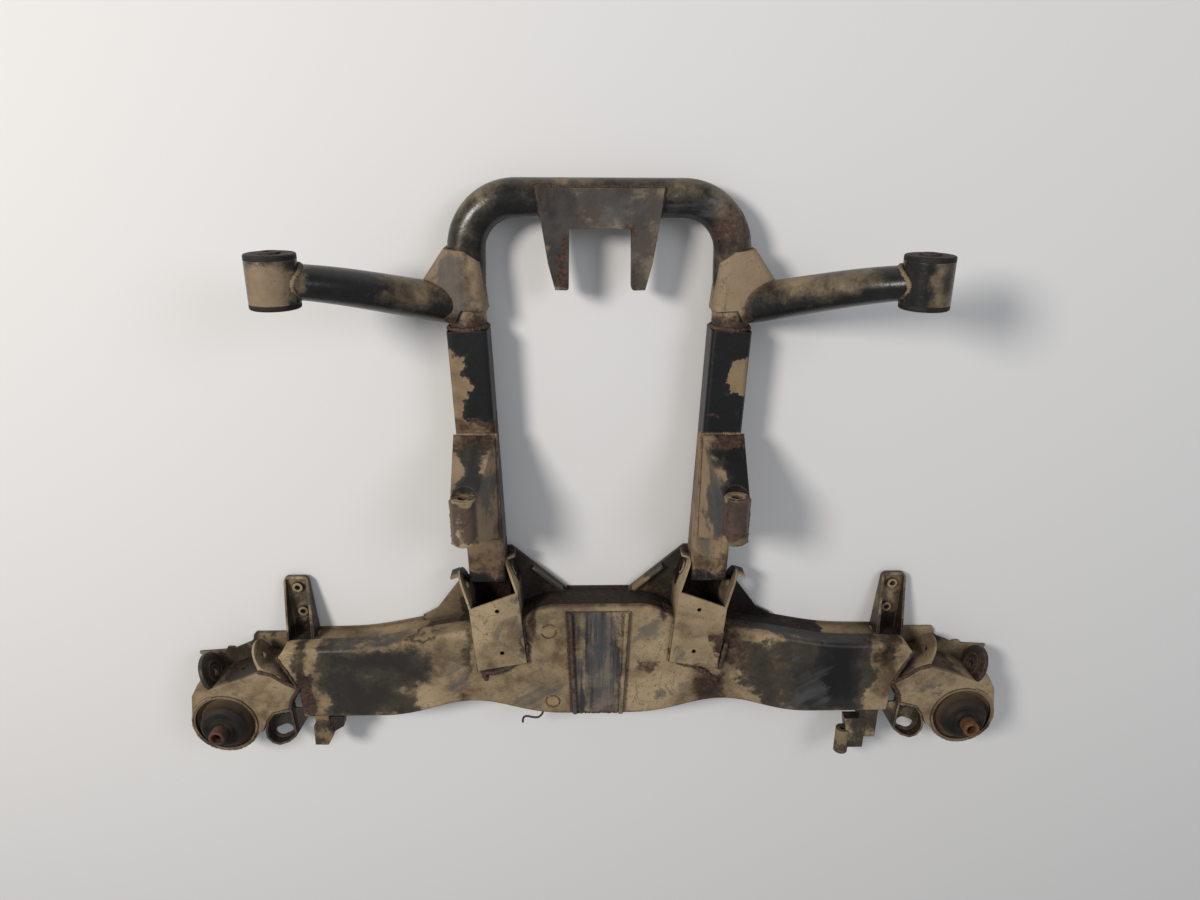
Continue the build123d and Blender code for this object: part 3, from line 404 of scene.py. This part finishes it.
# %%
FINISHES = {
    "beam_front_shell": worn_coat(
        "black paint under caked tan mud", paint="#2b2721", mud=0.2, grain=(1, 0.08, 1), turn=0.99,
        soft=0.06, stroke=55.0, streaky=0.14, dust=0.22,
        spots=[
            ("bare", -402, -258, 4, 124, 12), ("bare", -380, -236, 60, 122, 26),
            ("grime_and_shadow", 150, 184, 34, 82, 9), ("grime_and_shadow", 180, 206, 96, 162, 8),
            ("grime_and_shadow", -196, -184, 84, 150, 6), ("grime_and_shadow", -30, 60, -5, 8, 4),
            ("bare", 208, 412, 44, 134, 10), ("bare", 244, 404, 4, 100, 12),
            ("deep", 330, 376, 30, 126, 16), ("deep", 200, 345, 118, 160, 8, -40, -16),
            ("caked", 190, 236, 8, 52, 12), ("caked", -236, -196, 8, 132, 20),
            ("grime_and_shadow", -449, -426, 66, 146, 5), ("bare", -446, -420, 8, 90, 4),
            ("rusty", -446, -420, 8, 84, 6), ("rusty", 54, 84, 84, 99, 4),
            ("grime_and_shadow", -106, -88, 142, 200, 5), ("grime_and_shadow", -420, -376, 134, 150, 5),
            ("grime_and_shadow", -376, -230, 139, 146, 4), ("grime_and_shadow", 426, 448, 96, 146, 6),
            ("rusty", 412, 446, 40, 120, 10), ("grime_and_shadow", 88, 104, 168, 200, 5),
            ("smear", -225, -185, 30, 125, 16), ("smear", -108, -50, 42, 113, 12),
            ("smear", -140, -76, 20, 66, 14), ("smear", -150, -100, 44, 60, 8),
            ("smear", 285, 345, 20, 110, 16), ("smear", 81, 99, 32, 50, 6), ("smear", 104, 118, 41, 57, 6),
            ("smear", 126, 144, 49, 67, 6), ("smear", 60, 96, 136, 170, 14),
            ("smear", -90, -50, 160, 184, 10), ("rusty", 172, 216, 84, 166, 12),
            ("rusty", 140, 190, 26, 90, 14), ("rusty", -112, -88, 150, 190, 8),
            ("rusty", -200, -186, 20, 46, 6), ("rusty", -70, 70, 0, 15, 4),
            ("rusty", -100, 100, 180, 200, 6, -20, -3),
        ],
    ),
    # The groove is kept darker than the front shell, with less mud and dust.
    "beam_back_shell": worn_coat(
        "darker coat in the groove of the beam", paint="#16120f", gloss=0.85, mud=-0.2, rust=0.1, dust=0.06,
        up=0.02, soft=0.05,
        spots=[
            ("caked", -420, -200, 100, 180, 12), ("caked", 335, 420, 100, 150, 10),
            ("deep", 190, 330, 100, 170, 10), ("grime_and_shadow", -135, 135, 150, 200, 8, -110, -4),
            ("grime_and_shadow", -260, -196, 120, 170, 10, -56, -8),
        ],
    ),
    "beam_centre_plate": worn_coat(
        "mud scraped along the centre plate", paint="#2c2e33", mud=-0.07, scuff=0.13, grain=(1.5, 0.06, 1),
        lumps=0.6, soft=0.1, streaky=1.3,
        spots=[
            # The caked strip on the right wall of the plate is mud and a painted highlight on that wall.
            ("smear", -14, 24, 10, 186, 10), ("caked", 33, 46, 0, 200, 3, 2, 20),
            ("smear", -34, -26, 20, 110, 6), ("rusty", 31, 36, 10, 190, 3), ("rusty", -50, -34, 0, 200, 4),
            ("rusty", -60, 60, 0, 18, 3),
        ],
    ),
    "inner_pivot_bracket": worn_coat(
        "smooth beige mud on the folded bracket", mud=0.32, lumps=0.45, grain=(1, 0.2, 1), turn=0.4,
        spots=[
            ("smear", -160, -134, 140, 175, 18), ("grime_and_shadow", -108, -103, 130, 216, 3, 0, 40),
            ("smear", -120, -104, 120, 215, 5), ("smear", -138, -118, 158, 186, 10),
            ("grime_and_shadow", 168, 184, 96, 150, 4), ("smear", 112, 126, 100, 130, 14),
            # The deep spot between the ears, below the face, is painted shade in that cavity.
            ("deep", -260, 260, 214, 300, 8, -60, -24), ("rusty", 168, 182, 110, 150, 6),
            ("rusty", 100, 180, 90, 97, 5),
        ],
    ),
    "end_housing": worn_coat(
        "smooth beige mud on the housing", mud=0.3, lumps=0.45, rust=0.02, side=(0, -0.3, 0.95), up=0.2,
        spots=[
            # The dark spots beside the ears are dirt and a painted shadow of the ears.
            ("bare", -545, -500, 55, 100, 10, -70, -10), ("grime_and_shadow", 486, 582, 60, 120, 9, -70, -5),
            ("grime_and_shadow", -575, -490, 62, 104, 9, -70, -6), ("smear", -545, -500, 20, 50, 10),
            ("smear", 480, 520, 34, 60, 8),
        ],
    ),
    "end_housing_back": worn_coat(
        "dark rusty edge of the housing", mud=-0.02, rust=0.08,
        spots=[("caked", 440, 520, 90, 120, 8)],
    ),
    "inner_ear": worn_coat(
        "purple brown worn ear", paint="#4a3f3c", mud=0.06, rust=0.05, lumps=0.7, soft=0.05,
        spots=[("caked", 480, 520, 80, 130, 10)],
    ),
    "outer_ear": worn_coat(
        "dark muddy ear", paint="#2c2622", mud=-0.15, rust=0.13, edge_wear_and_highlight=1.3,
        spots=[("bare", 470, 640, 30, 130, 10)],
    ),
    "gusset": worn_coat(
        "dark paint on the gussets", mud=-0.14, rust=0.03, soft=0.04, edge_wear_and_highlight=0.9,
        spots=[
            ("caked", -262, -200, 120, 230, 8), ("caked", 46, 70, 150, 220, 6),
            ("deep", 170, 262, 120, 230, 10),
        ],
    ),
    "channel": worn_coat(
        "muddy upright channel", paint="#2b241f", mud=-0.06, rust=0.06, edge_wear_and_highlight=1.5, soft=0.05,
        # The deep spots are painted shade inside the channels.
        spots=[("deep", -470, -400, 90, 138, 8), ("deep", 400, 470, 90, 138, 8)],
    ),
    "side_rail": worn_coat(
        "black rail with mud along it", mud=0.16, grain=(1, 0.1, 1), mud_tint="#7d6850",
        spots=[
            ("deep", -205, -130, 566, 620, 7), ("deep", -171, -130, 466, 572, 6),
            ("deep", -145, -120, 300, 500, 6), ("deep", 125, 205, 448, 506, 7),
            ("deep", 125, 170, 500, 560, 6), ("deep", 125, 205, 552, 620, 7),
            ("caked", 174, 200, 510, 550, 4), ("deep", -200, -100, 100, 244, 8),
            ("deep", 100, 200, 100, 244, 8), ("rusty", -195, -130, 446, 470, 8),
            ("rusty", 130, 200, 240, 275, 12), ("rusty", -190, -130, 244, 280, 12),
            ("smear", -160, -130, 270, 350, 10), ("smear", 132, 160, 280, 400, 12),
        ],
    ),
    "loop_tube": worn_coat(
        "glossy black tube with dusty top", paint="#151312", gloss=0.28, mud=-0.24, grain=(0.1, 1, 1),
        up=0.26, side=(0, 0.85, 0.5), rust=0.04, lumps=0.7, soft=0.13, mud_tint="#796754", dust=0.34,
        spots=[
            ("smear", 70, 150, 735, 760, 12), ("rusty", 110, 200, 585, 604, 6),
            ("rusty", -200, -110, 585, 604, 6), ("caked", 110, 200, 604, 640, 8),
            ("caked", -200, -110, 604, 640, 8), ("rusty", 140, 200, 700, 736, 18),
        ],
    ),
    "arm": worn_coat(
        "black arm with brown mud", paint="#161515", gloss=0.27, mud=-0.19, up=0.34, side=(0, 0.75, 0.66),
        lumps=0.7, soft=0.12, mud_tint="#75634f", dust=0.42,
        spots=[
            ("bare", 324, 352, 640, 700, 12), ("caked", -384, -340, 640, 684, 12),
            ("smear", -400, -380, 640, 700, 8), ("bare", -330, -262, 650, 690, 12),
        ],
    ),
    "collar": worn_coat(
        "muddy collar", mud=0.06, streaky=0.35, scuff=0.06, grain=(1, 0.12, 1), soft=0.08,
        mud_tint="#7f6d58", rust=0.02,
        spots=[
            ("smear", -205, -160, 600, 690, 12), ("caked", 130, 230, 606, 700, 20),
            ("rusty", -230, -130, 596, 616, 8), ("rusty", 130, 230, 590, 608, 6),
            ("rusty", -172, -160, 610, 690, 8), ("grime_and_shadow", -230, -130, 596, 610, 6),
            ("grime_and_shadow", 186, 230, 596, 622, 8), ("bare", 186, 200, 640, 670, 10),
        ],
    ),
    "hood": worn_coat(
        "tan mud on the folded rail bracket", mud=0.12, grain=(1, 0.12, 1), mud_tint="#836f59", soft=0.03,
        spots=[
            ("deep", 160, 200, 380, 460, 8), ("bare", 150, 182, 340, 400, 10),
            ("rusty", 150, 200, 440, 460, 6), ("bare", -180, -150, 400, 460, 12),
            ("rusty", -200, -130, 436, 460, 8),
        ],
    ),
    "saddle": worn_coat(
        "worn grey brown saddle", paint="#3f3835", gloss=0.5, mud=-0.1, rust=0.0, lumps=0.7,
        grain=(1, 0.3, 1), soft=0.08, edge_wear_and_highlight=0.9, mud_tint="#7f7468",
        spots=[
            ("smear", -10, 70, 725, 760, 16), ("bare", -90, -34, 700, 770, 14),
            ("grime_and_shadow", -82, -58, 744, 770, 8), ("bare", -60, -40, 650, 715, 8),
            ("rusty", -46, -34, 640, 725, 4), ("rusty", 36, 44, 640, 725, 4),
        ],
    ),
    "left_holder": worn_coat(
        "brown mud on the left holder", paint="#2a211c", mud=0.08, rust=0.1, mud_tint="#6d573c",
        spots=[("bare", -403, -370, -40, 10, 4)],
    ),
    "right_holder": worn_coat("dark holder on the right", paint="#221d19", mud=-0.14, rust=0.08, soft=0.05),
    "stub": worn_coat("brown dust on the stub", paint="#3a3026", mud=0.06, rust=0.1, mud_tint="#6a5a45"),
    "rubber": rubber_coat("dusty bush rubber"),
    "cup": worn_coat("muddy brown bush cup", paint="#33291f", mud=0.04, rust=0.14, mud_tint="#6f5c45"),
    "right_pin": rust_coat("orange rust on the right pin", "#3b2415", "#724820", "#9c6c35"),
    "left_pin": rust_coat("dark red rust on the left pin", "#2a1a14", "#553529", "#7a523f", 0.3),
    "steel": rust_coat("brown rust on small steel", "#241812", "#4a3428", "#6d5a42", 0.4),
    "bracket_sleeve": worn_coat(
        "worn brown bracket sleeve", paint="#533e38", mud=-0.12, rust=0.1, edge_wear_and_highlight=2.0, nook=0.5,
        # The caked bands at both ends lighten the sleeve's rims: mud and a painted highlight on the rims.
        spots=[("caked", -200, 200, 393, 402, 3), ("caked", -200, 200, 326, 338, 4)],
    ),
    "nuts": worn_coat("muddy weld nuts", paint="#4a4036", mud=0.1, rust=0.05, lumps=0.5),
}

RULES = [
    ("beam_front_shell", "beam_front_shell"),
    ("beam_back_shell", "beam_back_shell"),
    ("centre_plate", "beam_centre_plate"),
    ("pivot_bracket", "inner_pivot_bracket"),
    ("housing_back", "end_housing_back"),
    ("end_housing", "end_housing"),
    ("inner_ear", "inner_ear"),
    ("outer_ear", "outer_ear"),
    ("gusset", "gusset"),
    ("channel_weld", "nuts"),
    ("channel", "channel"),
    ("side_rail", "side_rail"),
    ("loop_tube", "loop_tube"),
    ("loop_bracket", "channel"),
    ("arm_collar", "collar"),
    ("arm_tube", "arm"),
    ("arm_sleeve", "arm"),
    ("rubber", "rubber"),
    ("inner_sleeve", "steel"),
    ("rail_bracket_sleeve", "bracket_sleeve"),
    ("rail_bracket", "hood"),
    ("saddle", "saddle"),
    ("right_line_holder", "right_holder"),
    ("left_line_holder", "left_holder"),
    ("stub", "stub"),
    ("wire_hook", "steel"),
    ("cup", "cup"),
    ("right_main_bush_pin", "right_pin"),
    ("left_main_bush_pin", "left_pin"),
]
for name, piece in nodes.items():
    finish = next(key for part, key in RULES if part in name)
    piece.data.materials.clear()
    piece.data.materials.append(FINISHES[finish])
    piece.data.polygons.foreach_set("material_index", [0] * len(piece.data.polygons))
print("finishes", len(FINISHES))

# %% [markdown]
# ## Weld seams
# A geometry-node group lays overlapping beads along any curve. It resamples the curve by length,
# sets a squashed bead at each point, turned along the seam, and joins them into one mesh. Four
# such groups differ in the size, the spacing and the finish of the bead.


# %%
def make_weld_group(material, bead_radius, step):
    group = bpy.data.node_groups.new("weld bead", "GeometryNodeTree")
    group.interface.new_socket("Geometry", in_out="INPUT", socket_type="NodeSocketGeometry")
    group.interface.new_socket("Geometry", in_out="OUTPUT", socket_type="NodeSocketGeometry")
    seam = group.nodes.new("NodeGroupInput").outputs[0]
    spaced = wire(group, "GeometryNodeResampleCurve", {"Curve": seam, "Length": step}, mode="LENGTH")
    dots = wire(group, "GeometryNodeCurveToPoints", {"Curve": spaced.outputs[0]}, mode="EVALUATED")
    bead = wire(group, "GeometryNodeMeshIcoSphere", {"Radius": bead_radius, "Subdivisions": 2})
    smallest, greatest = (0.55, 0.8, 0.55), (0.95, 1.25, 0.85)
    size = wire(group, "FunctionNodeRandomValue", {0: smallest, 1: greatest}, data_type="FLOAT_VECTOR")
    laid = wire(
        group,
        "GeometryNodeInstanceOnPoints",
        {
            "Points": dots.outputs["Points"],
            "Instance": bead.outputs[0],
            "Rotation": dots.outputs["Rotation"],
            "Scale": size.outputs[0],
        },
    )
    whole = wire(group, "GeometryNodeRealizeInstances", {0: laid.outputs[0]})
    smooth = wire(group, "GeometryNodeSetShadeSmooth", {"Geometry": whole.outputs[0]})
    done = wire(group, "GeometryNodeSetMaterial", {"Geometry": smooth.outputs[0], "Material": material})
    out = group.nodes.new("NodeGroupOutput")
    group.links.new(done.outputs[0], out.inputs[0])
    return group


MUDDY_BEAD = worn_coat(
    "muddy weld bead", paint="#2b2420", mud=0.02, rust=0.1, lumps=0.5, mud_tint="#77644f", nook=0.5
)
RUSTY_BEAD = worn_coat("rusty weld bead", paint="#3c291f", mud=-0.22, rust=0.3, lumps=0.8, nook=0.3)
SCAB = rust_coat("thin brown rust scab", "#4a3322", "#6e4c30", "#8a6440", 0.4)
FINE = make_weld_group(MUDDY_BEAD, 0.0030, 0.0026)
RUSTY = make_weld_group(RUSTY_BEAD, 0.0036, 0.0028)
BOLD = make_weld_group(RUSTY_BEAD, 0.0058, 0.0032)
THIN = make_weld_group(SCAB, 0.0013, 0.0016)


def weld(name, runs, closed=False, group=FINE):
    """Lays one piece of weld along each run of points."""
    line = bpy.data.curves.new(name, "CURVE")
    line.dimensions = "3D"
    for run in runs:
        spline = line.splines.new("POLY")
        spline.points.add(len(run) - 1)
        for spot, place in zip(spline.points, run):
            spot.co = (*place, 1.0)
        spline.use_cyclic_u = closed
    guide = bpy.data.objects.new(name + "_guide", line)
    bpy.context.scene.collection.objects.link(guide)
    modifier = guide.modifiers.new("beads", "NODES")
    modifier.node_group = group
    graph = bpy.context.evaluated_depsgraph_get()
    mesh = bpy.data.meshes.new_from_object(guide.evaluated_get(graph))
    bpy.data.objects.remove(guide)
    piece = bpy.data.objects.new(name, mesh)
    bpy.context.scene.collection.objects.link(piece)
    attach(piece, "root")
    return piece


def mirrored(run):
    return [Vector((-place.x, place.y, place.z)) for place in run]


def both_sides(name, runs, closed=False, group=FINE):
    weld("right_" + name, runs, closed, group)
    weld("left_" + name, [mirrored(run) for run in runs], closed, group)


def ring(centre, radius, normal, start=0.0, end=360.0, steps=40):
    """Points round a circle about a centre, square to a normal."""
    turn = Vector(normal).to_track_quat("Z", "Y").to_matrix()
    angles = [radians(start + (end - start) * i / steps) for i in range(steps + 1)]
    return [centre + turn @ Vector((radius * cos(a), radius * sin(a), 0)) for a in angles]


both_sides("bracket_foot_weld", [[at(104, 104.0, 1), at(140, 97.5, 1.5), at(175, 91.0, 1)]], group=RUSTY)
weld(
    "left_bracket_bold_weld",
    [
        [at(-174, 98, 1), at(-166, 85, 1), at(-153, 86, 1.5), at(-137, 91, 1.5), at(-120, 101, 1)],
        [at(-167, 84, 0.5), at(-165, 74, 0)],
        [at(-105, 113, 1), at(-103, 130, 1)],
    ],
    group=BOLD,
)
weld(
    "right_bracket_bold_weld",
    [
        [at(106, 122, 0.5), at(109, 108, 1), at(121, 99, 1)]
        + [at(139, 95, 0.5), at(157, 83, 0), at(176, 67, -0.5)],
        [at(178, 92, 1), at(182, 108, 1), at(186, 128, 1)],
    ],
    group=BOLD,
)
both_sides(
    "bracket_side_weld",
    [[at(103.5, 106, 0.5), at(108.5, 165, 0.5)], [at(175.5, 93, 0.5), at(180.5, 150, 0.5)]],
)
weld(
    "centre_plate_welds",
    [[at(-37.8, 15, 0.5), at(-44.8, 184, 0.5)], [at(-36, 13.5, 0.3), at(36, 13.5, 0.3)]],
    group=RUSTY,
)
weld("centre_plate_right_weld", [[at(37.8, 15, 0.3), at(44.8, 184, 0.3)]])
weld(
    "rust_scabs",
    [
        ring(at(-72, 152, 0.2), 0.0105, (0, 0, 1), 20, 190),
        ring(at(-71, 152, 0.2), 0.0115, (0, 0, 1), 230, 320),
        ring(at(-67, 33, 0.2), 0.0105, (0, 0, 1), -40, 130),
        ring(at(-67, 32, 0.2), 0.0100, (0, 0, 1), 150, 290),
    ],
    group=THIN,
)
both_sides("bush_ring_weld", [ring(at(555, 0, 0.3), 0.0475, (0, 0, 1), 35, 250)])
both_sides(
    "housing_seam_weld",
    [
        [at(441, 57, 0), at(453, 40, -0.5), at(456.5, 25, -1)],
        [at(441, 59, -1), at(461, 70, -1), at(478, 83, -1), at(495, 87, -1)],
        [at(466, 111, -2), at(452, 83, -1), at(441, 58, 0)],
    ],
    group=RUSTY,
)
both_sides(
    "rail_head_weld", [ring(at(170.2, 591.5, -33), 0.0250, (0.0387, 0.99925, 0))], closed=True, group=RUSTY
)


def arm_tip_seam():
    """Where the flattened end of the arm meets the round sleeve."""
    sleeve, arm = at(364, 673, 112), at(331, 669, 93)
    sleeve_radius, arm_half_width, arm_half_height = 0.0284, 0.0195, 0.0245
    onward = (sleeve - arm).normalized()
    broad = Vector((-onward.y, onward.x, 0)).normalized()
    tall = onward.cross(broad)
    run = []
    for step in range(41):
        turn_by = 2 * pi * step / 40
        rise = arm_half_height * sin(turn_by)
        back = (sleeve_radius**2 - rise**2) ** 0.5
        run.append(sleeve + broad * arm_half_width * cos(turn_by) + tall * rise - onward * back)
    return run


both_sides("arm_tip_weld", [arm_tip_seam()], closed=True)


TUBE_LINE_Y, TUBE_LINE_HEIGHT, TUBE_RADIUS = 753.0, -33, 24.0
SADDLE_SIDE_YS = (766, 760, 752, 744, 737, 732)


def on_loop(x, y, lift=0.4):
    """Point on the upper side of the straight top run of the loop tube."""
    rise = (TUBE_RADIUS**2 - (y - TUBE_LINE_Y) ** 2) ** 0.5
    return at(x, y, TUBE_LINE_HEIGHT + rise + lift)


weld(
    "saddle_weld",
    [[on_loop(side * (77.6 - (766 - y) * 0.12), y) for y in SADDLE_SIDE_YS] for side in (-1, 1)]
    + [[on_loop(-77, 766.8), on_loop(0, 766.8), on_loop(77, 766.8)]],
    group=RUSTY,
)
both_sides(
    "hood_foot_weld",
    [
        [at(139, 452.5, -6.6), at(187, 452.5, -6.6)],
        [at(137.5, 452, -6.8), at(137.5, 300, -6.8)],
        [at(138, 299.5, -6.6), at(184, 299.5, -6.6)],
    ],
)
both_sides(
    "nose_weld",
    [[at(157.5, 333, 76), at(157.5, 392, 76)], [at(189.5, 333, 76), at(189.5, 392, 76)]],
)
both_sides("channel_foot_weld", [[at(420, 121, -57), at(422, 121, -44), at(419, 121, -30)]])

# %% [markdown]
# ## Floor, light and camera
# The floor is plain and pale and the light is soft. The camera stands where the photograph's did,
# worked out from the two bushes and the straight rails.

# %%
floor_mesh = bpy.data.meshes.new("floor")
shape = bmesh.new()
bmesh.ops.create_grid(shape, x_segments=1, y_segments=1, size=6.0)
shape.to_mesh(floor_mesh)
shape.free()
floor = bpy.data.objects.new("floor", floor_mesh)
bpy.context.scene.collection.objects.link(floor)
pale = bpy.data.materials.new("plain pale floor")
pale.use_nodes = True
pale.node_tree.nodes["Principled BSDF"].inputs["Base Color"].default_value = linear("#d9d8d6")
pale.node_tree.nodes["Principled BSDF"].inputs["Roughness"].default_value = 0.8
floor_mesh.materials.append(pale)


def area_light(name, place, target, size, power, colour):
    lamp = bpy.data.lights.new(name, "AREA")
    lamp.shape = "DISK"
    lamp.size = size
    lamp.energy = power
    lamp.color = linear(colour)[:3]
    lamp_object = bpy.data.objects.new(name, lamp)
    lamp_object.location = place
    lamp_object.rotation_euler = (Vector(target) - Vector(place)).to_track_quat("-Z", "Y").to_euler()
    bpy.context.scene.collection.objects.link(lamp_object)


area_light("key", (-1.9, 1.2, 2.4), (0, 0, 0), 0.8, 76, "#fffaf4")
area_light("fill", (1.8, 1.2, 2.4), (0, 0, 0), 1.4, 22, "#f4f7ff")
world = bpy.data.worlds.new("studio")
world.use_nodes = True
world.node_tree.nodes["Background"].inputs["Color"].default_value = linear("#e8ebf0")
world.node_tree.nodes["Background"].inputs["Strength"].default_value = 0.37
bpy.context.scene.world = world

camera = bpy.data.cameras.new("camera")
camera.sensor_width = 36.0
camera.lens = 25.5
camera_object = bpy.data.objects.new("camera", camera)
right = Vector((0.999662, 0.00587, 0.025313))
down = Vector((-0.003255, -0.938192, 0.3461))
onward = Vector((0.02578, -0.346065, -0.937856))
stand = Matrix((right, -down, -onward)).transposed().to_4x4()
stand.translation = at(-28.386, 824.235, 1063.127)
camera_object.matrix_world = stand
bpy.context.scene.collection.objects.link(camera_object)
bpy.context.scene.camera = camera_object
bpy.context.scene.view_settings.view_transform = "Standard"
